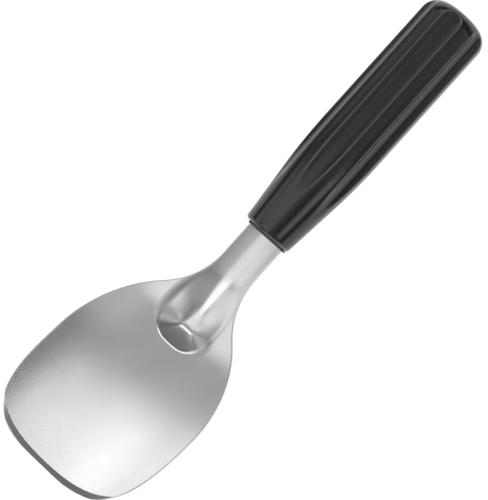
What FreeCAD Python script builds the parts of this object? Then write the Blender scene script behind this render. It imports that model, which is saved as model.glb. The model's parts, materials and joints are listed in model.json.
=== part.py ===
import FreeCAD, Part
import math
import os

# An ice cream spade, in millimetres: a pressed steel blade whose tang sits in a fluted handle.
# X runs along the spade from the blade's tip to the butt, and Z is up from what it lies on.
# The pieces are drawn about the handle's axis, with X = 0 at the handle's mouth. At the end
# they are turned and moved together to where they rest, with the origin in the middle below.

# Sheet of the blade
sheet = 2.5

# Outline of the blade, seen from above
blade_reach = 121.2
blade_width = 69.0
widest_to_tip = 43.0
nose_fullness = 2.82
side_fullness = 3.63
shoulder_radius = 53.5
flare_radius = 33.2
stem_width = 16.8

# Side view of the blade: it rises from its low point to the tip
low_point_to_mouth = 43.5
tip_rise = 30.2
heel_length = 30.5
neck_drop = 2.0
stem_drop_at_mouth = 1.5
dish_radius = 100.0

# Channel pressed into the stem, and the hollow that it ends in
channel_depth = 2.2
channel_half_width = 9.8
hollow_depth = 5.2
hollow_half_width = 12.6
hollow_to_mouth = 45.5
hollow_nose = 11.6
channel_start_to_mouth = 18.0
hollow_end_to_mouth = 44.5
crease_round = 1.3
rim_round = 1.6

# Spacing of the points that the sheet's faces are drawn through
row_step = 2.0
column_step = 1.2

# Front edge, ground on its upper side
bevel_run = 2.2
edge_land = 0.4
bevel_side_margin = 1.0

# Tang inside the handle, flat where the pressing has faded out
pressing_in_handle = 2.0
flat_in_handle = 14.0
stem_in_handle = 6.0
tang_width = 11.0
tang_length = 80.0

# Handle
handle_length = 113.8
mouth_radius = 10.6
mouth_round = 1.4
grip_radius = 14.35
taper_length = 50.0
taper_bend = 257.0
butt_round = 7.0
flute_count = 6
flute_radius = 6.9
flute_depth = 2.0
lip_length = 1.0
lip_wall = 0.9
socket_clearance = 0.1

# How exactly the two pieces that touch the table are brought to one level
rest_tolerance = 0.002

blade_half = blade_width / 2
stem_half = stem_width / 2
tang_half = tang_width / 2
widest_x = widest_to_tip - blade_reach
low_x = -low_point_to_mouth
hollow_x = -hollow_to_mouth
tip_ahead = blade_reach - low_point_to_mouth
rise_share = tip_rise / (math.hypot(tip_ahead, heel_length) - heel_length)


def smooth(value, start, end):
    """Rises from 0 at start to 1 at end, level at both."""
    share = min(max((value - start) / (end - start), 0.0), 1.0)
    return share ** 3 * (10 - 15 * share + 6 * share ** 2)


def centre_height(x):
    """Height of the sheet's upper face over the length, before the channel is pressed."""
    if x > low_x:
        return -neck_drop + (neck_drop - stem_drop_at_mouth) * smooth(x, low_x, 0.0)
    ahead = low_x - x
    return -neck_drop + rise_share * (math.hypot(ahead, heel_length) - heel_length)


def channel_drop(x, y):
    """Depth of the channel and of the round-nosed hollow that it runs into.

    Both have straight walls, rounded at the crease below and at the rim above.
    """
    share = smooth(x, -hollow_end_to_mouth, -channel_start_to_mouth)
    depth = hollow_depth + (channel_depth - hollow_depth) * share
    half = hollow_half_width + (channel_half_width - hollow_half_width) * share
    past = max(hollow_x - x, 0.0)
    reach = math.hypot(y / half, past / hollow_nose)
    bottom = crease_round / half
    up_wall = (math.hypot(reach, bottom) - bottom) / (math.hypot(1, bottom) - bottom)
    rim = rim_round / half
    near_rim = max(rim - abs(up_wall - 1), 0.0)
    return depth * (1 - min(up_wall, 1.0) + near_rim ** 2 / (4 * rim))


def upper_height(x, y):
    pressing = y ** 2 / (2 * dish_radius) - channel_drop(x, y)
    return centre_height(x) + pressing * (1 - smooth(x, pressing_in_handle, flat_in_handle))


def skin_point(x, y, depth):
    """The point at a depth below the upper face, measured square to it."""
    probe = 0.01
    z = upper_height(x, y)
    slope_x = (upper_height(x + probe, y) - upper_height(x - probe, y)) / (2 * probe)
    slope_y = (upper_height(x, y + probe) - upper_height(x, y - probe)) / (2 * probe)
    square = FreeCAD.Vector(-slope_x, -slope_y, 1).normalize()
    return FreeCAD.Vector(x, y, z) - square * depth


def evenly(start, end, step):
    count = max(4, math.ceil((end - start) / step))
    return [start + (end - start) * i / count for i in range(count + 1)]


def skin(start_x, end_x, half, depth):
    """A face of the sheet, a smooth surface through the heights given by upper_height."""
    surface = Part.BSplineSurface()
    rows = evenly(start_x, end_x, row_step)
    columns = evenly(-half, half, column_step)
    surface.interpolate([[skin_point(x, y, depth) for y in columns] for x in rows])
    return surface


def sheet_slab(start_x, end_x, half, above, below):
    """A slab of sheet, larger than the blade, between two faces of the same form."""
    upper = skin(start_x, end_x, half, -above)
    lower = skin(start_x, end_x, half, below)
    walls = []
    for u in (0, 1):
        walls.append(Part.makeRuledSurface(side_edge(upper, u, None), side_edge(lower, u, None)))
    for v in (0, 1):
        walls.append(Part.makeRuledSurface(side_edge(upper, None, v), side_edge(lower, None, v)))
    shell = Part.makeShell([upper.toShape(), lower.toShape()] + walls)
    shell.sewShape()
    slab = Part.makeSolid(shell)
    if slab.Volume < 0:
        slab.reverse()
    return slab


def side_edge(surface, u, v):
    first_u, last_u, first_v, last_v = surface.bounds()
    if v is None:
        return surface.uIso((first_u, last_u)[u]).toShape()
    return surface.vIso((first_v, last_v)[v]).toShape()


def nose_curve(half):
    """The blade's front half, from its widest point round the tip to the other side."""
    points = []
    steps = 14
    for i in range(-steps, steps + 1):
        share = abs(i) / steps
        turn = math.pi / 2 * share ** 2 * (3 - 2 * share)
        ahead = widest_to_tip * max(math.cos(turn), 0.0) ** (2 / nose_fullness)
        aside = half * math.sin(turn) ** (2 / side_fullness)
        points.append(FreeCAD.Vector(widest_x - ahead, math.copysign(aside, i), 0))
    curve = Part.BSplineCurve()
    along = FreeCAD.Vector(1, 0, 0)
    curve.interpolate(Points=points, InitialTangent=-along, FinalTangent=along)
    return curve.toShape()


def arc(start, middle, end):
    return Part.Arc(start, middle, end).toShape()


def round_point(centre_x, centre_y, radius, angle):
    return FreeCAD.Vector(centre_x + radius * math.cos(angle), centre_y + radius * math.sin(angle), 0)


def side_edges():
    """One side of the outline from the widest point to the tang: shoulder, flare and stem."""
    shoulder_y = blade_half - shoulder_radius
    flare_y = stem_half + flare_radius
    between = shoulder_radius + flare_radius
    flare_x = widest_x + math.sqrt(between ** 2 - (flare_y - shoulder_y) ** 2)
    lean = math.atan2(flare_y - shoulder_y, flare_x - widest_x)
    quarter = math.pi / 2
    widest = round_point(widest_x, shoulder_y, shoulder_radius, quarter)
    shoulder_middle = round_point(widest_x, shoulder_y, shoulder_radius, (quarter + lean) / 2)
    meeting = round_point(widest_x, shoulder_y, shoulder_radius, lean)
    flare_turn = lean + math.pi
    flare_middle = round_point(flare_x, flare_y, flare_radius, (flare_turn + 3 * quarter) / 2)
    stem_start = FreeCAD.Vector(flare_x, stem_half, 0)
    stem_end = FreeCAD.Vector(stem_in_handle, stem_half, 0)
    tang_start = FreeCAD.Vector(stem_in_handle + stem_half - tang_half, tang_half, 0)
    tang_end = FreeCAD.Vector(tang_length - tang_half, tang_half, 0)
    return [
        arc(widest, shoulder_middle, meeting),
        arc(meeting, flare_middle, stem_start),
        Part.makeLine(stem_start, stem_end),
        Part.makeLine(stem_end, tang_start),
        Part.makeLine(tang_start, tang_end),
    ]


def tang_tip(gap):
    top = FreeCAD.Vector(tang_length - tang_half, tang_half + gap, 0)
    bottom = FreeCAD.Vector(top.x, -top.y, 0)
    return arc(top, FreeCAD.Vector(tang_length + gap, 0, 0), bottom)


def prism(edges, low, high, lean=0.0):
    """A straight or leaning prism over a closed outline in the XY plane."""
    face = Part.Face(Part.Wire(Part.__sortEdges__(edges)))
    face.translate(FreeCAD.Vector(0, 0, low))
    return face.extrude(FreeCAD.Vector(lean * (high - low), 0, high - low))


def make_blade():
    tip_x = -blade_reach
    margin = 3 * sheet
    slab = sheet_slab(tip_x - margin, tang_length + margin, blade_half + margin, 0.0, sheet)
    top_z = upper_height(tip_x - margin, blade_half + margin) + margin
    base_z = -neck_drop - hollow_depth - margin
    side = side_edges()
    other = [edge.mirror(FreeCAD.Vector(0, 0, 0), FreeCAD.Vector(0, 1, 0)) for edge in side]
    blank = prism([nose_curve(blade_half)] + side + other + [tang_tip(0.0)], base_z, top_z)
    return slab.common(blank).common(bevel_tool(base_z, top_z))


def bevel_tool(base_z, top_z):
    """What the front grind leaves: a leaning prism that starts just above the lower edge."""
    tip_x = -blade_reach
    slope = rise_share * tip_ahead / math.hypot(tip_ahead, heel_length)
    drop = sheet * math.hypot(1, slope)
    lean = bevel_run / (drop - edge_land - slope * bevel_run)
    edge_z = centre_height(tip_x) - drop + edge_land
    half = blade_half + bevel_side_margin
    back = tang_length + lean * (edge_z - base_z) + sheet
    nose = nose_curve(half)
    corners = [FreeCAD.Vector(x, y, 0) for x, y in
               ((widest_x, half), (back, half), (back, -half), (widest_x, -half))]
    edges = [nose] + [Part.makeLine(corners[i], corners[i + 1]) for i in range(3)]
    tool = prism(edges, 0, top_z - base_z, lean)
    tool.translate(FreeCAD.Vector(lean * (base_z - edge_z), 0, base_z))
    return tool


def make_grip():
    """The handle's outside: a turned body, rounded at both ends, with flutes all round."""
    bend_y = grip_radius - taper_bend
    mouth_above = mouth_radius - bend_y
    lean = math.asin(taper_bend / math.hypot(taper_length, mouth_above))
    lean -= math.atan2(mouth_above, taper_length)
    quarter = math.pi / 2
    steep = quarter + lean
    round_y = mouth_radius - mouth_round * (1 - math.sin(lean)) / math.cos(lean)
    round_start = FreeCAD.Vector(0, round_y, 0)
    round_middle = round_point(mouth_round, round_y, mouth_round, (math.pi + steep) / 2)
    round_end = round_point(mouth_round, round_y, mouth_round, steep)
    bend_start = round_point(taper_length, bend_y, taper_bend, steep)
    bend_middle = round_point(taper_length, bend_y, taper_bend, (quarter + steep) / 2)
    bend_end = FreeCAD.Vector(taper_length, grip_radius, 0)
    butt_x = handle_length - butt_round
    butt_y = grip_radius - butt_round
    butt_start = FreeCAD.Vector(butt_x, grip_radius, 0)
    butt_middle = round_point(butt_x, butt_y, butt_round, quarter / 2)
    butt_end = FreeCAD.Vector(handle_length, butt_y, 0)
    butt_centre = FreeCAD.Vector(handle_length, 0, 0)
    mouth_centre = FreeCAD.Vector(0, 0, 0)
    profile = Part.Wire([
        Part.makeLine(mouth_centre, round_start),
        arc(round_start, round_middle, round_end),
        Part.makeLine(round_end, bend_start),
        arc(bend_start, bend_middle, bend_end),
        Part.makeLine(bend_end, butt_start),
        arc(butt_start, butt_middle, butt_end),
        Part.makeLine(butt_end, butt_centre),
        Part.makeLine(butt_centre, mouth_centre),
    ])
    body = Part.Face(profile).revolve(mouth_centre, FreeCAD.Vector(1, 0, 0), 360)
    for number in range(flute_count):
        body = body.cut(flute_cutter(360 / flute_count * number))
    return body


def flute_cutter(angle):
    """A round cutter along the handle, whose floor lies flute_depth inside the full radius."""
    offset = grip_radius - flute_depth + flute_radius
    start = FreeCAD.Vector(-grip_radius, 0, offset)
    along = FreeCAD.Vector(1, 0, 0)
    cutter = Part.makeCylinder(flute_radius, handle_length + 2 * grip_radius, start, along)
    cutter.rotate(FreeCAD.Vector(0, 0, 0), along, angle)
    return cutter


def make_socket():
    """The space that the stem and tang take in the handle, with its clearance."""
    gap = socket_clearance
    margin = 2 * sheet
    slab = sheet_slab(-margin, tang_length + margin, stem_half + margin, gap, sheet + gap)
    start = -lip_length - gap
    step = stem_half - tang_half
    points = [
        (start, stem_half + gap),
        (stem_in_handle + gap, stem_half + gap),
        (stem_in_handle + step + gap, tang_half + gap),
        (tang_length - tang_half, tang_half + gap),
    ]
    upper = [FreeCAD.Vector(x, y, 0) for x, y in points]
    lower = [FreeCAD.Vector(x, -y, 0) for x, y in points]
    edges = [Part.makeLine(upper[i], upper[i + 1]) for i in range(3)]
    edges += [Part.makeLine(lower[i], lower[i + 1]) for i in range(3)]
    edges += [Part.makeLine(lower[0], upper[0]), tang_tip(gap)]
    return slab.common(prism(edges, -grip_radius, grip_radius))


def make_lip():
    """The thin lip round the stem in front of the mouth, a rounded pad."""
    upper = upper_height(0, stem_half) + lip_wall
    lower = upper_height(0, 0) - sheet - lip_wall
    half = stem_half + lip_wall
    pad = Part.makeBox(lip_length + mouth_round, 2 * half, upper - lower)
    pad.translate(FreeCAD.Vector(-lip_length, -half, lower))
    sides = [edge for edge in pad.Edges if edge.BoundBox.XLength > lip_length]
    return pad.makeFillet(2 * lip_wall, sides)


def lowest(shape, turn):
    """Lowest point of a shape turned about the Y axis."""
    turned = shape.copy()
    turned.rotate(FreeCAD.Vector(0, 0, 0), FreeCAD.Vector(0, 1, 0), turn)
    return turned.optimalBoundingBox(False, False).ZMin


def resting_turn(blade, handle):
    """The turn about Y that brings the hollow's underside and the handle's ridges to one level."""
    span = low_point_to_mouth + taper_length
    turn = 0.0
    gap = 1.0
    while abs(gap) > rest_tolerance:
        gap = lowest(handle, turn) - lowest(blade, turn)
        turn += math.degrees(gap / span)
    return turn


def main():
    blade = make_blade()
    handle = make_grip().fuse(make_lip()).cut(make_socket()).removeSplitter()
    turn = resting_turn(blade, handle)
    print("handle leans by", round(turn, 3), "degrees")
    pieces = {"blade": blade, "handle": handle}
    for shape in pieces.values():
        shape.rotate(FreeCAD.Vector(0, 0, 0), FreeCAD.Vector(0, 1, 0), turn)
    boxes = [shape.optimalBoundingBox(False, False) for shape in pieces.values()]
    middle_x = (min(box.XMin for box in boxes) + max(box.XMax for box in boxes)) / 2
    place = FreeCAD.Vector(-middle_x, 0, -min(box.ZMin for box in boxes))
    os.makedirs("parts", exist_ok=True)
    for name, shape in pieces.items():
        shape.translate(place)
        box = shape.optimalBoundingBox(False, False)
        print(name, "solids", len(shape.Solids), "valid", shape.isValid())
        print("  size", round(box.XLength, 2), round(box.YLength, 2), round(box.ZLength, 2))
        print("  lowest", round(box.ZMin, 3), "volume", round(shape.Volume / 1000, 2), "cm3")
        shape.exportStep("parts/" + name + ".step")


main()
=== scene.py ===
import bisect
import json
import math

import bmesh
import bpy
from mathutils import Matrix, Vector


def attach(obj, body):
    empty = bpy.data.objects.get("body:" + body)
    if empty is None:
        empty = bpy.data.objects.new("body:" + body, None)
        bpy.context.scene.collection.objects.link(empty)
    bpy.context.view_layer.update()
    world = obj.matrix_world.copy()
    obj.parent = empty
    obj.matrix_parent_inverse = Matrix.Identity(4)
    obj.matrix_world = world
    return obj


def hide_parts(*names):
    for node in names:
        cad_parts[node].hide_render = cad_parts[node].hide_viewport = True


# An ice cream spade: a pressed, satin steel blade whose tang sits in a fluted black handle.
# Forms are worked out in millimetres about the handle's axis, with x = 0 at the handle's mouth
# and the blade towards minus x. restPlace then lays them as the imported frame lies.

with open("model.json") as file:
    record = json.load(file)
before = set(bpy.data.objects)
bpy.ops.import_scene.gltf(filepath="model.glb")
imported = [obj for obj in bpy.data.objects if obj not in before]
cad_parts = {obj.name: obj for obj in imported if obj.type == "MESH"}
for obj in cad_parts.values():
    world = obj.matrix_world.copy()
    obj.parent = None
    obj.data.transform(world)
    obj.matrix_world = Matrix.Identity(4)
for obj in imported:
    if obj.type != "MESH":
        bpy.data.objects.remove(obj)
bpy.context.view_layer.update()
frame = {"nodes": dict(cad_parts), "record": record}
print("frame loaded:", ", ".join(sorted(frame["nodes"])))

millimetre = 0.001
seamWidth = 0.002  # millimetres, within which points of a seam are merged

bladeSize = {
    "thickness": 2.5, "reach": 121.2, "width": 69.0,
    "widestToTip": 43.0, "noseFullness": 2.82, "sideFullness": 3.63,
    "shoulderRadius": 53.5, "flareRadius": 33.2, "stemWidth": 16.8,
    "lowToMouth": 43.5, "tipRise": 30.2, "heelLength": 30.5,
    "neckDrop": 2.0, "dropAtMouth": 1.5, "dishRadius": 100.0,
    "channelDepth": 2.2, "channelHalf": 9.8,
    "hollowDepth": 5.2, "hollowHalf": 12.6, "hollowToMouth": 45.5, "hollowNose": 11.6,
    "channelStart": 18.0, "hollowEnd": 44.5, "creaseRound": 3.4, "noseBlend": 2.4,
    "sideRim": 3.0, "frontRim": 0.2,
    "frontWall": 0.74, "frontFoot": 0.12,  # the front wall's run and the rounding of its foot, as shares
    "bevelRun": 2.2, "edgeLand": 0.4, "bevelSideMargin": 1.0,
    "pressingInHandle": 2.0, "flatInHandle": 14.0,
    "stemInHandle": 6.0, "tangWidth": 11.0, "tangLength": 80.0,
    "rimRound": 0.4, "rimShare": 0.3,  # rounding of the cut rim, and its most as a share of the sheet
}

handleSize = {
    "length": 113.8, "mouthRadius": 10.6, "mouthRound": 1.4, "gripRadius": 14.35,
    "taperLength": 50.0, "taperBend": 257.0, "buttRound": 7.0,
    "fluteCount": 6, "fluteRadius": 6.9, "fluteDepth": 2.0, "fluteEdge": 0.45,
    "lipLength": 1.0, "lipWall": 0.9, "lipEdge": 0.3, "socketClearance": 0.1,
    "roundSteps": 240,
}


def findRestPlace():
    butt = next(m for m in frame["record"]["mounts"] if m["name"] == "butt_face")
    axis = Vector(butt["axis"])
    turn = Matrix.Rotation(-math.atan2(axis.z, axis.x), 4, "Y")
    end = Vector(butt["pos_m"])
    shift = end - turn @ Vector((handleSize["length"] * millimetre, 0, 0))
    return Matrix.Translation(shift) @ turn


restPlace = findRestPlace()

# Shared steps


def deselectAll():
    if bpy.context.mode != "OBJECT":
        bpy.ops.object.mode_set(mode="OBJECT")
    bpy.ops.object.select_all(action="DESELECT")


def pick(piece):
    deselectAll()
    piece.select_set(True)
    bpy.context.view_layer.objects.active = piece


def applyModifiers(piece):
    pick(piece)
    for modifier in list(piece.modifiers):
        bpy.ops.object.modifier_apply(modifier=modifier.name)


def finishPiece(piece, material, node):
    pick(piece)
    piece.data.transform(restPlace @ Matrix.Scale(millimetre, 4))
    piece.data.update()
    bpy.ops.object.shade_smooth_by_angle(angle=math.radians(smoothAngle))
    piece.data.materials.clear()
    piece.data.materials.append(material)
    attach(piece, "root")
    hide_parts(node)


# Form of the pressed sheet


def smooth(value, start, end):
    share = min(max((value - start) / (end - start), 0.0), 1.0)
    return share ** 3 * (10 - 15 * share + 6 * share ** 2)


def riseShare():
    size = bladeSize
    ahead = size["reach"] - size["lowToMouth"]
    return size["tipRise"] / (math.hypot(ahead, size["heelLength"]) - size["heelLength"])


def centreHeight(x):
    size = bladeSize
    lowX = -size["lowToMouth"]
    if x > lowX:
        return -size["neckDrop"] + (size["neckDrop"] - size["dropAtMouth"]) * smooth(x, lowX, 0.0)
    ahead = lowX - x
    return -size["neckDrop"] + riseShare() * (math.hypot(ahead, size["heelLength"]) - size["heelLength"])


def softLeast(a, b, softness):
    near = max(softness - abs(a - b), 0.0) / softness
    return min(a, b) - near * near * softness / 4


def channelDrop(x, y):  # depth of the channel and its hollow, whose front wall is steeper than its sides
    size = bladeSize
    share = smooth(x, -size["hollowEnd"], -size["channelStart"])
    depth = size["hollowDepth"] + (size["channelDepth"] - size["hollowDepth"]) * share
    half = size["hollowHalf"] + (size["channelHalf"] - size["hollowHalf"]) * share
    ahead = -size["hollowToMouth"] - x
    past = (ahead + math.hypot(ahead, size["noseBlend"])) / 2 / size["hollowNose"]
    bottom = size["creaseRound"] / half
    across = (math.hypot(y / half, bottom) - bottom) / (math.hypot(1, bottom) - bottom)
    upWall = math.hypot(across, past)
    frontShare = (past / max(upWall, past)) ** 2
    rim = (size["sideRim"] + (size["frontRim"] - size["sideRim"]) * frontShare) / half
    side = -softLeast(upWall - 1, 0.0, rim)
    front = softLeast(side / size["frontWall"], 1.0, size["frontFoot"])
    return depth * (side + (front - side) * frontShare)


def upperHeight(x, y):
    size = bladeSize
    pressing = y * y / (2 * size["dishRadius"]) - channelDrop(x, y)
    return centreHeight(x) + pressing * (1 - smooth(x, size["pressingInHandle"], size["flatInHandle"]))


def lowerHeight(x, y, depth):  # the face that lies depth below the upper one, square to it
    probe, tries = 0.01, 5
    footX, footY = x, y
    for _ in range(tries):
        slopeX = (upperHeight(footX + probe, footY) - upperHeight(footX - probe, footY)) / (2 * probe)
        slopeY = (upperHeight(footX, footY + probe) - upperHeight(footX, footY - probe)) / (2 * probe)
        length = math.sqrt(1 + slopeX ** 2 + slopeY ** 2)
        footX = x - slopeX / length * depth
        footY = y - slopeY / length * depth
    return upperHeight(footX, footY) - depth / length


def noseX(y, half):  # how far forward the nose reaches at y
    size = bladeSize
    share = min(abs(y) / half, 1.0)
    turn = math.asin(share ** (size["sideFullness"] / 2))
    ahead = size["widestToTip"] * math.cos(turn) ** (2 / size["noseFullness"])
    return size["widestToTip"] - size["reach"] - ahead


def bevelHeight(x, y):  # the ground face at the front, above its lower edge
    size = bladeSize
    ahead = size["reach"] - size["lowToMouth"]
    slope = riseShare() * ahead / math.hypot(ahead, size["heelLength"])
    drop = size["thickness"] * math.hypot(1, slope)
    lean = size["bevelRun"] / (drop - size["edgeLand"] - slope * size["bevelRun"])
    edgeZ = centreHeight(-size["reach"]) - drop + size["edgeLand"]
    return edgeZ + (x - noseX(y, size["width"] / 2 + size["bevelSideMargin"])) / lean


def groundHeight(x, y):
    if x > bladeSize["widestToTip"] - bladeSize["reach"]:
        return upperHeight(x, y)
    return min(upperHeight(x, y), bevelHeight(x, y))


# Outline of the sheet, as points and outward directions along one side

halvings = 50  # of a span in which a place is searched for


def arcSamples(centre, radius, start, end, step, outward):
    count = max(6, math.ceil(abs(end - start) * radius / step))
    found = []
    for i in range(count + 1):
        angle = start + (end - start) * i / count
        way = Vector((math.cos(angle), math.sin(angle)))
        found.append((centre + way * radius, way * outward))
    return found


def lineSamples(start, end, step):
    count = max(2, math.ceil((end - start).length / step))
    way = (end - start).normalized()
    out = Vector((-way.y, way.x))
    return [(start.lerp(end, i / count), out) for i in range(count + 1)]


def sideOutline():
    size = bladeSize
    step, tangStep = 0.25, 1.0
    half = size["width"] / 2
    stemHalf = size["stemWidth"] / 2
    tangHalf = size["tangWidth"] / 2
    widestX = size["widestToTip"] - size["reach"]
    shoulderY = half - size["shoulderRadius"]
    flareY = stemHalf + size["flareRadius"]
    between = size["shoulderRadius"] + size["flareRadius"]
    flareX = widestX + math.sqrt(between ** 2 - (flareY - shoulderY) ** 2)
    lean = math.atan2(flareY - shoulderY, flareX - widestX)
    nose = []
    noseSteps = 300
    for i in range(noseSteps):
        share = i / noseSteps
        turn = math.pi / 2 * share ** 2 * (3 - 2 * share)
        aside = half * math.sin(turn) ** (2 / size["sideFullness"])
        nose.append(Vector((noseX(aside, half), aside)))
    nose.append(Vector((widestX, half)))
    samples = []
    for i, point in enumerate(nose):
        before = nose[i - 1] if i else Vector((nose[1].x, -nose[1].y))
        after = nose[i + 1] if i < noseSteps else Vector((2 * widestX - nose[-2].x, nose[-2].y))
        way = (after - before).normalized()
        samples.append((point, Vector((-way.y, way.x))))
    stemEnd = Vector((size["stemInHandle"], stemHalf))
    tangStart = Vector((stemEnd.x + stemHalf - tangHalf, tangHalf))
    tangEnd = Vector((size["tangLength"] - tangHalf, tangHalf))
    shoulder = Vector((widestX, shoulderY))
    flare = Vector((flareX, flareY))
    quarter = math.pi / 2
    stretches = [
        arcSamples(shoulder, size["shoulderRadius"], quarter, lean, step, 1),
        arcSamples(flare, size["flareRadius"], lean + math.pi, 3 * quarter, step, -1),
        lineSamples(Vector((flareX, stemHalf)), stemEnd, step),
        lineSamples(stemEnd, tangStart, step),
        lineSamples(tangStart, tangEnd, tangStep),
        arcSamples(Vector((tangEnd.x, 0)), tangHalf, quarter, 0.0, step, 1),
    ]
    for stretch in stretches:
        samples += stretch[1:]
    return samples


class Outline:  # finds a point by its distance along the side from the tip's middle

    def __init__(self, samples):
        self.samples = samples
        self.places = [0.0]
        for (a, _), (b, _) in zip(samples, samples[1:]):
            self.places.append(self.places[-1] + (b - a).length)
        self.length = self.places[-1]

    def at(self, place):
        i = min(max(bisect.bisect_right(self.places, place) - 1, 0), len(self.samples) - 2)
        share = (place - self.places[i]) / (self.places[i + 1] - self.places[i])
        (a, outA), (b, outB) = self.samples[i], self.samples[i + 1]
        return a.lerp(b, share), outA.lerp(outB, share).normalized()

    def placeAtX(self, x):
        low, high = 0.0, self.length
        for _ in range(halvings):
            middle = (low + high) / 2
            low, high = (middle, high) if self.at(middle)[0].x < x else (low, middle)
        return low


outline = Outline(sideOutline())


def rimAt(place):  # outline point, outward direction and rim radius; minus places are the other side
    point, out = outline.at(abs(place))
    size = bladeSize
    wall = groundHeight(point.x, point.y) - lowerHeight(point.x, point.y, size["thickness"])
    radius = min(size["rimRound"], size["rimShare"] * wall)
    if place < 0:
        point, out = Vector((point.x, -point.y)), Vector((out.x, -out.y))
    return point, out, radius


def insetAt(place):
    point, out, radius = rimAt(place)
    return point - out * radius


# Grid of plan points over the sheet: rows run across it, from the tip to the tang's end


def acrossLine(ends, columns):  # even steps along a line of points
    places = [0.0]
    for a, b in zip(ends, ends[1:]):
        places.append(places[-1] + (b - a).length)
    found = []
    for j in range(columns + 1):
        place = places[-1] * j / columns
        i = min(max(bisect.bisect_right(places, place) - 1, 0), len(ends) - 2)
        found.append(ends[i].lerp(ends[i + 1], (place - places[i]) / (places[i + 1] - places[i])))
    return found


def patchRow(near, far, share, side):  # a row between two curved rows whose ends follow the outline
    columns = len(near) - 1
    row = [a.lerp(b, share) for a, b in zip(near, far)]
    left = Vector((side.x, -side.y)) - row[0]
    right = side - row[-1]
    return [p + left * (1 - j / columns) + right * (j / columns) for j, p in enumerate(row)]


def bevelLine(columns):
    size = bladeSize

    def inner(y):
        low, high = noseX(y, size["width"] / 2), size["widestToTip"] - size["reach"]
        for _ in range(halvings):
            middle = (low + high) / 2
            above = bevelHeight(middle, y) > upperHeight(middle, y)
            low, high = (low, middle) if above else (middle, high)
        return low

    place = next(p for p, (q, _) in zip(outline.places, outline.samples)
                 if bevelHeight(q.x, q.y) > upperHeight(q.x, q.y))
    end = insetAt(place)
    points = []
    steps = 160
    for i in range(-steps, steps + 1):
        y = end.y * math.sin(math.pi / 2 * i / steps)
        points.append(Vector((inner(y), y)))
    points[0], points[-1] = Vector((end.x, -end.y)), end
    return acrossLine(points, columns), place


def bladeGrid():
    columns = 110
    cornerBeforeCrease = 0.8
    rows, places = [], []
    creaseRow, creasePlace = bevelLine(columns)
    cornerPlace = creasePlace - cornerBeforeCrease
    front = [insetAt(cornerPlace * (2 * j / columns - 1)) for j in range(columns + 1)]
    bandRows = 5
    for i in range(bandRows):
        place = cornerPlace + (creasePlace - cornerPlace) * i / bandRows
        rows.append(patchRow(front, creaseRow, i / bandRows, insetAt(place)))
        places.append(place)
    widest = outline.placeAtX(bladeSize["widestToTip"] - bladeSize["reach"])
    widestEnd = insetAt(widest)
    widestRow = [Vector((widestEnd.x, widestEnd.y * (2 * j / columns - 1))) for j in range(columns + 1)]
    noseRows = 60
    for i in range(noseRows):
        place = creasePlace + (widest - creasePlace) * i / noseRows
        rows.append(patchRow(creaseRow, widestRow, i / noseRows, insetAt(place)))
        places.append(place)
    mouth = outline.placeAtX(0.0)
    tangEnd = outline.placeAtX(bladeSize["tangLength"] - bladeSize["tangWidth"] / 2)
    bodyRows, tangRows, endRows = 170, 24, 8
    stations = [widest + (mouth - widest) * i / bodyRows for i in range(bodyRows)]
    stations += [mouth + (tangEnd - mouth) * i / tangRows for i in range(tangRows + 1)]
    for place in stations:
        end = insetAt(place)
        rows.append([Vector((end.x, end.y * (2 * j / columns - 1))) for j in range(columns + 1)])
        places.append(place)
    lastPlace = (tangEnd + outline.length) / 2
    last = []
    for j in range(columns + 1):
        across = 2 * j / columns - 1
        place = outline.length - (outline.length - lastPlace) * abs(across)
        point = insetAt(place)
        last.append(Vector((point.x, math.copysign(point.y, across))))
    straight = rows[-1]
    for i in range(1, endRows + 1):
        place = tangEnd + (lastPlace - tangEnd) * i / endRows
        rows.append(patchRow(straight, last, i / endRows, insetAt(place)))
        places.append(place)
    rims = {}
    for i, place in enumerate(places):
        rims[(i, 0)] = rimAt(-place)
        rims[(i, columns)] = rimAt(place)
    for j in range(columns + 1):
        across = 2 * j / columns - 1
        rims[(0, j)] = rimAt(cornerPlace * across)
        point, out, radius = rimAt(outline.length - (outline.length - lastPlace) * abs(across))
        sign = -1 if across < 0 else 1
        rims[(len(rows) - 1, j)] = (Vector((point.x, sign * point.y)), Vector((out.x, sign * out.y)), radius)
    return rows, rims


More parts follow.
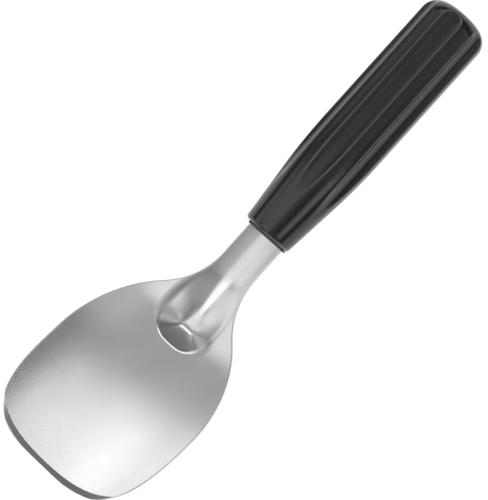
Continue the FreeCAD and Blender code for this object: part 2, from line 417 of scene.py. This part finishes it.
def makeSheet(name, rows, upper, lower, rims, rimSteps):
    rowCount, columnCount = len(rows) - 1, len(rows[0]) - 1
    deselectAll()
    bpy.ops.mesh.primitive_grid_add(x_subdivisions=rowCount, y_subdivisions=columnCount, size=2)
    piece = bpy.context.object
    piece.name = name
    bpy.ops.object.mode_set(mode="EDIT")
    mesh = bmesh.from_edit_mesh(piece.data)
    rowTag = mesh.verts.layers.int.new("row")
    columnTag = mesh.verts.layers.int.new("column")
    for v in mesh.verts:
        i = round((v.co.x + 1) / 2 * rowCount)
        j = round((v.co.y + 1) / 2 * columnCount)
        v[rowTag], v[columnTag] = i, j
        plan = rows[i][j]
        v.co = Vector((plan.x, plan.y, upper(plan.x, plan.y)))
    bmesh.update_edit_mesh(piece.data)
    bpy.ops.mesh.select_all(action="SELECT")
    bpy.ops.mesh.duplicate()
    mesh = bmesh.from_edit_mesh(piece.data)
    for v in mesh.verts:
        if v.select:
            v.co.z = lower(v.co.x, v.co.y)
    bmesh.update_edit_mesh(piece.data)
    bpy.ops.mesh.flip_normals()
    bpy.ops.mesh.select_all(action="INVERT")
    bpy.ops.mesh.region_to_loop()
    profile = [(math.sin(math.pi / 2 * k / rimSteps), 1 - math.cos(math.pi / 2 * k / rimSteps), 1)
               for k in range(1, rimSteps + 1)]
    profile += [(p[0], p[1], -1) for p in reversed(profile)]
    for outShare, downShare, face in profile:
        bpy.ops.mesh.extrude_edges_move()
        placeRing(piece, rims, outShare, downShare, face, upper, lower)
    bpy.ops.mesh.extrude_edges_move()
    placeRing(piece, rims, 0.0, 0.0, -1, upper, lower)
    bpy.ops.mesh.select_all(action="SELECT")
    bpy.ops.mesh.remove_doubles(threshold=seamWidth)
    bpy.ops.mesh.normals_make_consistent(inside=False)
    bpy.ops.object.mode_set(mode="OBJECT")
    for tag in ("row", "column"):
        piece.data.attributes.remove(piece.data.attributes[tag])
    return piece


def placeRing(piece, rims, outShare, downShare, face, upper, lower):
    mesh = bmesh.from_edit_mesh(piece.data)
    rowTag = mesh.verts.layers.int["row"]
    columnTag = mesh.verts.layers.int["column"]
    for v in mesh.verts:
        if not v.select:
            continue
        point, out, radius = rims[(v[rowTag], v[columnTag])]
        plan = point - out * radius * (1 - outShare)
        if face > 0:
            height = upper(plan.x, plan.y) - radius * downShare
        else:
            height = lower(plan.x, plan.y) + radius * downShare
        v.co = Vector((plan.x, plan.y, height))
    bmesh.update_edit_mesh(piece.data)


def makeBlade():
    rows, rims = bladeGrid()
    lower = lambda x, y: lowerHeight(x, y, bladeSize["thickness"])
    return makeSheet("spade_blade", rows, groundHeight, lower, rims, 4)


# The handle: a profile spun round its axis, with flutes pressed along it


def arcPoints(centreX, centreY, radius, start, end, steps):
    angles = [start + (end - start) * k / steps for k in range(steps + 1)]
    return [(centreX + radius * math.cos(a), centreY + radius * math.sin(a)) for a in angles]


def handleProfile():
    size = handleSize
    bendY = size["gripRadius"] - size["taperBend"]
    mouthAbove = size["mouthRadius"] - bendY
    lean = math.asin(size["taperBend"] / math.hypot(size["taperLength"], mouthAbove))
    lean -= math.atan2(mouthAbove, size["taperLength"])
    quarter = math.pi / 2
    around = size["mouthRound"]
    face = size["mouthRadius"] - around * (1 - math.sin(lean)) / math.cos(lean)
    buttX = size["length"] - size["buttRound"]
    buttY = size["gripRadius"] - size["buttRound"]
    points = [(0.0, face * share) for share in (0.0, 0.25, 0.5, 0.75, 0.9)]
    points += arcPoints(around, face, around, math.pi, quarter + lean, 8)
    bend = arcPoints(size["taperLength"], bendY, size["taperBend"], quarter + lean, quarter, 24)
    coneStart, coneEnd = points[-1], bend[0]
    coneSteps, straightSteps = 20, 24
    points += [(coneStart[0] + (coneEnd[0] - coneStart[0]) * k / coneSteps,
                coneStart[1] + (coneEnd[1] - coneStart[1]) * k / coneSteps) for k in range(1, coneSteps)]
    points += bend
    points += [(size["taperLength"] + (buttX - size["taperLength"]) * k / straightSteps, size["gripRadius"])
               for k in range(1, straightSteps)]
    points += arcPoints(buttX, buttY, size["buttRound"], quarter, 0.0, 22)
    points += [(size["length"], buttY * share) for share in (0.8, 0.5, 0.2, 0.0)]
    return points


def fluteFloor(angle):  # distance from the axis to the nearest flute's surface
    size = handleSize
    pitch = 2 * math.pi / size["fluteCount"]
    aside = (angle + pitch / 2) % pitch - pitch / 2
    offset = size["gripRadius"] - size["fluteDepth"] + size["fluteRadius"]
    under = size["fluteRadius"] ** 2 - (offset * math.sin(aside)) ** 2
    if under <= 0:
        return 2 * size["gripRadius"]
    return offset * math.cos(aside) - math.sqrt(under)


def makeHandleBody():
    deselectAll()
    bpy.ops.mesh.primitive_plane_add(size=1)
    piece = bpy.context.object
    piece.name = "spade_handle"
    bpy.ops.object.mode_set(mode="EDIT")
    bpy.ops.mesh.select_all(action="SELECT")
    bpy.ops.mesh.merge(type="CENTER")
    points = handleProfile()
    for (x, radius), (nextX, nextRadius) in zip(points, points[1:]):
        move = (nextX - x, 0, nextRadius - radius)
        bpy.ops.mesh.extrude_region_move(TRANSFORM_OT_translate={"value": move})
    bpy.ops.mesh.select_all(action="SELECT")
    bpy.ops.mesh.spin(steps=handleSize["roundSteps"], angle=2 * math.pi, center=(0, 0, 0), axis=(1, 0, 0))
    bpy.ops.mesh.select_all(action="SELECT")
    bpy.ops.mesh.remove_doubles(threshold=seamWidth / 4)
    bpy.ops.mesh.normals_make_consistent(inside=False)
    mesh = bmesh.from_edit_mesh(piece.data)
    for v in mesh.verts:
        radius = math.hypot(v.co.y, v.co.z)
        if radius > seamWidth:  # the poles stay on the axis
            pressed = softLeast(radius, fluteFloor(math.atan2(v.co.y, v.co.z)), handleSize["fluteEdge"])
            v.co.y *= pressed / radius
            v.co.z *= pressed / radius
    bmesh.update_edit_mesh(piece.data)
    bpy.ops.object.mode_set(mode="OBJECT")
    return piece


def makeLip():
    size = handleSize
    stemHalf = bladeSize["stemWidth"] / 2
    upper = upperHeight(0, stemHalf) + size["lipWall"]
    lower = upperHeight(0, 0) - bladeSize["thickness"] - size["lipWall"]
    length = size["lipLength"] + size["mouthRound"]
    deselectAll()
    bpy.ops.mesh.primitive_cube_add(size=1, location=(length / 2 - size["lipLength"], 0, (upper + lower) / 2))
    pad = bpy.context.object
    pad.scale = (length, 2 * (stemHalf + size["lipWall"]), upper - lower)
    bpy.ops.object.transform_apply(location=True, rotation=True, scale=True)
    bpy.ops.object.mode_set(mode="EDIT")
    mesh = bmesh.from_edit_mesh(pad.data)
    for e in mesh.edges:
        e.select_set(abs(e.verts[0].co.x - e.verts[1].co.x) > size["lipLength"])
    bmesh.update_edit_mesh(pad.data)
    bpy.ops.mesh.bevel(offset=2 * size["lipWall"], segments=6, affect="EDGES")
    mesh = bmesh.from_edit_mesh(pad.data)
    for f in mesh.faces:
        f.select_set(f.normal.x < -0.9)  # the face that looks at the blade
    bmesh.update_edit_mesh(pad.data)
    bpy.ops.mesh.region_to_loop()
    bpy.ops.mesh.bevel(offset=size["lipEdge"], segments=3, affect="EDGES")
    bpy.ops.object.mode_set(mode="OBJECT")
    return pad


def makeSocketCutter():
    gap = handleSize["socketClearance"]
    thickness = bladeSize["thickness"]
    columns = 40
    half = bladeSize["stemWidth"] / 2 + gap
    beforeMouth = (-4.0, -3.0, -2.0, -1.0)
    rows = [[Vector((x, half * (2 * j / columns - 1))) for j in range(columns + 1)] for x in beforeMouth]
    start = outline.placeAtX(0.0)
    end = outline.length - bladeSize["tangWidth"] / 4
    steps = 90
    for k in range(steps + 1):
        point, out = outline.at(start + (end - start) * k / steps)
        side = point + out * gap
        rows.append([Vector((side.x, side.y * (2 * j / columns - 1))) for j in range(columns + 1)])
    rims = {}
    last = len(rows) - 1
    for i, row in enumerate(rows):
        for j, p in enumerate(row):
            if i in (0, last) or j in (0, columns):
                rims[(i, j)] = (p, Vector((0, 0)), 0.0)
    upper = lambda x, y: lowerHeight(x, y, -gap)
    lower = lambda x, y: lowerHeight(x, y, thickness + gap)
    return makeSheet("socket_cutter", rows, upper, lower, rims, 1)


def joinByBoolean(piece, other, operation):
    modifier = piece.modifiers.new("shape", "BOOLEAN")
    modifier.operation = operation
    modifier.object = other
    modifier.solver = "EXACT"
    applyModifiers(piece)
    bpy.data.objects.remove(other)


def makeHandle():
    piece = makeHandleBody()
    joinByBoolean(piece, makeLip(), "UNION")
    joinByBoolean(piece, makeSocketCutter(), "DIFFERENCE")
    return piece


# Finishes

noiseLow, noiseHigh = 0.3, 0.7  # between these lie nearly all values of a noise


def newMaterial(name):
    material = bpy.data.materials.new(name)
    material.use_nodes = True
    tree = material.node_tree
    tree.nodes.clear()
    output = tree.nodes.new("ShaderNodeOutputMaterial")
    shader = tree.nodes.new("ShaderNodeBsdfPrincipled")
    tree.links.new(shader.outputs["BSDF"], output.inputs["Surface"])
    return material, tree, shader


def addNoise(tree, coordinates, scale, detail, stretch=(1, 1, 1)):
    mapping = tree.nodes.new("ShaderNodeMapping")
    mapping.inputs["Scale"].default_value = stretch
    noise = tree.nodes.new("ShaderNodeTexNoise")
    noise.inputs["Scale"].default_value = scale
    noise.inputs["Detail"].default_value = detail
    tree.links.new(coordinates.outputs["Object"], mapping.inputs["Vector"])
    tree.links.new(mapping.outputs["Vector"], noise.inputs["Vector"])
    return noise.outputs["Fac"]


def addRange(tree, value, low, high):
    ranged = tree.nodes.new("ShaderNodeMapRange")
    ranged.inputs["From Min"].default_value = noiseLow
    ranged.inputs["From Max"].default_value = noiseHigh
    ranged.inputs["To Min"].default_value = low
    ranged.inputs["To Max"].default_value = high
    tree.links.new(value, ranged.inputs["Value"])
    return ranged.outputs["Result"]


def addShades(tree, value, dark, light):
    ramp = tree.nodes.new("ShaderNodeValToRGB")
    ramp.color_ramp.elements[0].position = noiseLow
    ramp.color_ramp.elements[0].color = (*dark, 1)
    ramp.color_ramp.elements[1].position = noiseHigh
    ramp.color_ramp.elements[1].color = (*light, 1)
    tree.links.new(value, ramp.inputs["Fac"])
    return ramp.outputs["Color"]


def addBump(tree, height, distance, strength, under=None):
    bump = tree.nodes.new("ShaderNodeBump")
    bump.inputs["Distance"].default_value = distance
    bump.inputs["Strength"].default_value = strength
    tree.links.new(height, bump.inputs["Height"])
    if under:
        tree.links.new(under, bump.inputs["Normal"])
    return bump.outputs["Normal"]


steelFinish = {
    "dark": (0.655, 0.655, 0.65), "light": (0.705, 0.705, 0.70),
    "roughLow": 0.22, "roughHigh": 0.26,
    "cloudScale": 70.0, "grainScale": 1500.0,
    "waveScale": 200.0, "waveHeight": 0.000005, "waveStrength": 0.4,
}


def makeSteel():
    finish = steelFinish
    material, tree, shader = newMaterial("satin_steel")
    coordinates = tree.nodes.new("ShaderNodeTexCoord")
    clouds = addNoise(tree, coordinates, finish["cloudScale"], 4.0)
    grain = addNoise(tree, coordinates, finish["grainScale"], 3.0, (0.35, 1, 1))
    waves = addNoise(tree, coordinates, finish["waveScale"], 2.0, (0.6, 1, 1))
    shader.inputs["Metallic"].default_value = 1.0
    tree.links.new(addShades(tree, clouds, finish["dark"], finish["light"]), shader.inputs["Base Color"])
    tree.links.new(addRange(tree, grain, finish["roughLow"], finish["roughHigh"]), shader.inputs["Roughness"])
    wavy = addBump(tree, waves, finish["waveHeight"], finish["waveStrength"])
    tree.links.new(wavy, shader.inputs["Normal"])
    return material


plasticFinish = {
    "dark": (0.006, 0.006, 0.0063), "light": (0.010, 0.010, 0.0105),
    "roughLow": 0.17, "roughHigh": 0.24, "bending": 1.6,
    "skinScale": 800.0, "skinHeight": 0.00002, "skinStrength": 0.4,
    "waveScale": 120.0, "waveHeight": 0.00006, "waveStrength": 0.5,
    "paintedHighlight": (0.12, 0.12, 0.12), "highlightFrom": 0.51, "highlightTo": 0.54,  # colour of the painted highlight along the sharp edges, and the pointiness over which it comes in
}


def addPaintedEdgeHighlight(tree, plainShade, finish):  # a painted highlight: a lighter colour along the sharp edges, where the light catches them
    form = tree.nodes.new("ShaderNodeNewGeometry")
    edge = tree.nodes.new("ShaderNodeMapRange")
    edge.inputs["From Min"].default_value = finish["highlightFrom"]
    edge.inputs["From Max"].default_value = finish["highlightTo"]
    tree.links.new(form.outputs["Pointiness"], edge.inputs["Value"])
    mixed = tree.nodes.new("ShaderNodeMix")
    mixed.data_type = "RGBA"
    plain, paintedHighlight = (socket for socket in mixed.inputs if socket.type == "RGBA")
    paintedHighlight.default_value = (*finish["paintedHighlight"], 1)
    tree.links.new(edge.outputs["Result"], mixed.inputs[0])
    tree.links.new(plainShade, plain)
    return next(socket for socket in mixed.outputs if socket.type == "RGBA")


def makePlastic():
    finish = plasticFinish
    material, tree, shader = newMaterial("black_plastic")
    coordinates = tree.nodes.new("ShaderNodeTexCoord")
    skin = addNoise(tree, coordinates, finish["skinScale"], 2.0)
    waves = addNoise(tree, coordinates, finish["waveScale"], 1.0, (0.5, 1, 1))
    plainShade = addShades(tree, waves, finish["dark"], finish["light"])
    # Base colour: the plain shades, with a painted highlight along the sharp edges
    tree.links.new(addPaintedEdgeHighlight(tree, plainShade, finish), shader.inputs["Base Color"])
    tree.links.new(addRange(tree, skin, finish["roughLow"], finish["roughHigh"]), shader.inputs["Roughness"])
    shader.inputs["IOR"].default_value = finish["bending"]
    wavy = addBump(tree, waves, finish["waveHeight"], finish["waveStrength"])
    normal = addBump(tree, skin, finish["skinHeight"], finish["skinStrength"], wavy)
    tree.links.new(normal, shader.inputs["Normal"])
    return material


# Floor, lamps and camera

floorLook = {"size": 3.0, "colour": 0.82, "glow": 1.15, "glowShare": 0.85}


def addMath(tree, operation, first, second):
    node = tree.nodes.new("ShaderNodeMath")
    node.operation = operation
    tree.links.new(first, node.inputs[0])
    if second:
        tree.links.new(second, node.inputs[1])
    return node.outputs[0]


def makeFloor():  # glows only where it is seen, mirrored or looked through, and keeps its shadow
    deselectAll()
    bpy.ops.mesh.primitive_plane_add(size=floorLook["size"])
    floor = bpy.context.object
    floor.name = "studio_floor"
    material, tree, shader = newMaterial("floor_white")
    shade = floorLook["colour"]
    shader.inputs["Base Color"].default_value = (shade, shade, shade, 1)
    shader.inputs["Roughness"].default_value = 1.0
    shader.inputs["Specular IOR Level"].default_value = 0.0
    glow = tree.nodes.new("ShaderNodeEmission")
    glow.inputs["Strength"].default_value = floorLook["glow"]
    path = tree.nodes.new("ShaderNodeLightPath")
    seen = path.outputs["Is Camera Ray"]
    for ray in ("Is Glossy Ray", "Is Transmission Ray"):
        seen = addMath(tree, "MAXIMUM", seen, path.outputs[ray])
    share = addMath(tree, "MULTIPLY", seen, None)
    share.node.inputs[1].default_value = floorLook["glowShare"]
    mixed = tree.nodes.new("ShaderNodeMixShader")
    output = next(n for n in tree.nodes if n.type == "OUTPUT_MATERIAL")
    tree.links.new(share, mixed.inputs["Fac"])
    tree.links.new(shader.outputs["BSDF"], mixed.inputs[1])
    tree.links.new(glow.outputs["Emission"], mixed.inputs[2])
    tree.links.new(mixed.outputs["Shader"], output.inputs["Surface"])
    floor.data.materials.append(material)


worldStrength = 0.145
lampDistance = 1.2
softBoxes = {  # middle and half width, in degrees from straight up: along the handle, to the upper left
    "handle_box": {"middle": (47, 10), "half": (6.2, 20), "glow": 1.22},
    "handle_top": {"middle": (47, 40), "half": (6, 10), "glow": 0.70},
    "tip_box": {"middle": (-32, 10), "half": (12, 20), "glow": 0.65},
    "left_box": {"middle": (-44, 50), "half": (16, 20), "glow": 0.34},
    "over_tip": {"middle": (-8, 11), "half": (12, 21), "glow": 0.43},
    "over_stem": {"middle": (-7, 41), "half": (7, 8), "glow": 0.48},
    "over_handle": {"middle": (20, 20), "half": (13, 30), "glow": 0.13},
    "over_low": {"middle": (8, -18), "half": (22, 10), "glow": 0.20},
    "left_near": {"middle": (-16, 60), "half": (6, 11), "glow": 0.18},
    "left_far": {"middle": (32, 62), "half": (9, 12), "glow": 0.24},
    "right_far": {"middle": (40, -50), "half": (8, 20), "glow": 0.24},
    "right_tip": {"middle": (-44, -30), "half": (21, 20), "glow": 0.12},
    "right_box": {"middle": (8, -44), "half": (13, 12), "glow": 0.15},
    "right_streak": {"middle": (-14, -58), "half": (6, 9), "glow": 0.7},
    "tip_low": {"middle": (-80, 0), "half": (9, 45), "glow": 0.04},
}
wattsAtFullGlow = 7.2  # for each square metre of a soft box


def addLamps():
    for name, box in softBoxes.items():
        along, aside = (math.radians(a) for a in box["middle"])
        width, height = (2 * lampDistance * math.tan(math.radians(a)) for a in box["half"])
        data = bpy.data.lights.new(name, "AREA")
        data.shape = "RECTANGLE"
        data.size, data.size_y = width, height
        data.energy = wattsAtFullGlow * box["glow"] * width * height
        item = bpy.data.objects.new(name, data)
        bpy.context.scene.collection.objects.link(item)
        way = Vector((math.sin(along) * math.cos(aside), math.sin(aside), math.cos(along) * math.cos(aside)))
        across = Vector((math.cos(along), 0, -math.sin(along)))
        turn = Matrix((across, way.cross(across), way)).transposed().to_4x4()
        item.matrix_world = Matrix.Translation(way * lampDistance) @ turn


def setWorld():
    world = bpy.data.worlds.new("studio")
    bpy.context.scene.world = world
    world.use_nodes = True
    world.node_tree.nodes["Background"].inputs["Strength"].default_value = worldStrength
    world.node_tree.nodes["Background"].inputs["Color"].default_value = (1, 1, 1, 1)


cameraPlace = {
    "pitch": 0.63, "roll": 11.09, "spin": 47.97,  # degrees, about the handle's axes
    "target": (-10.33, 2.49), "distance": 700.0,  # millimetres
    "pixelsPerMillimetre": 2.570, "imageHeight": 500,
    "sensorWidth": 36.0,
}


def addCamera():
    place = cameraPlace
    pitch, roll, spin = (math.radians(place[k]) for k in ("pitch", "roll", "spin"))
    back = Vector((-math.sin(pitch), -math.cos(pitch) * math.sin(roll), math.cos(pitch) * math.cos(roll)))
    along = Vector((1, 0, 0)) - back * back.x
    along.normalize()
    left = back.cross(along)
    right = along * math.cos(spin) - left * math.sin(spin)
    up = along * math.sin(spin) + left * math.cos(spin)
    eye = Vector((*place["target"], 0)) + back * place["distance"]
    data = bpy.data.cameras.new("camera")
    data.sensor_width = place["sensorWidth"]
    focal = place["pixelsPerMillimetre"] * place["distance"]  # in pixels
    data.lens = focal * data.sensor_width / place["imageHeight"]
    data.clip_end = 20.0
    camera = bpy.data.objects.new("camera", data)
    bpy.context.scene.collection.objects.link(camera)
    turn = Matrix((right, up, back)).transposed().to_4x4()
    camera.matrix_world = restPlace @ Matrix.Translation(eye * millimetre) @ turn
    bpy.context.scene.camera = camera


smoothAngle = 32  # degrees

blade = makeBlade()
finishPiece(blade, makeSteel(), "blade")
print("blade made:", len(blade.data.polygons), "faces")
handle = makeHandle()
finishPiece(handle, makePlastic(), "handle")
print("handle made:", len(handle.data.polygons), "faces")
makeFloor()
addLamps()
setWorld()
addCamera()
bpy.context.scene.view_settings.view_transform = "Standard"
print("studio set")
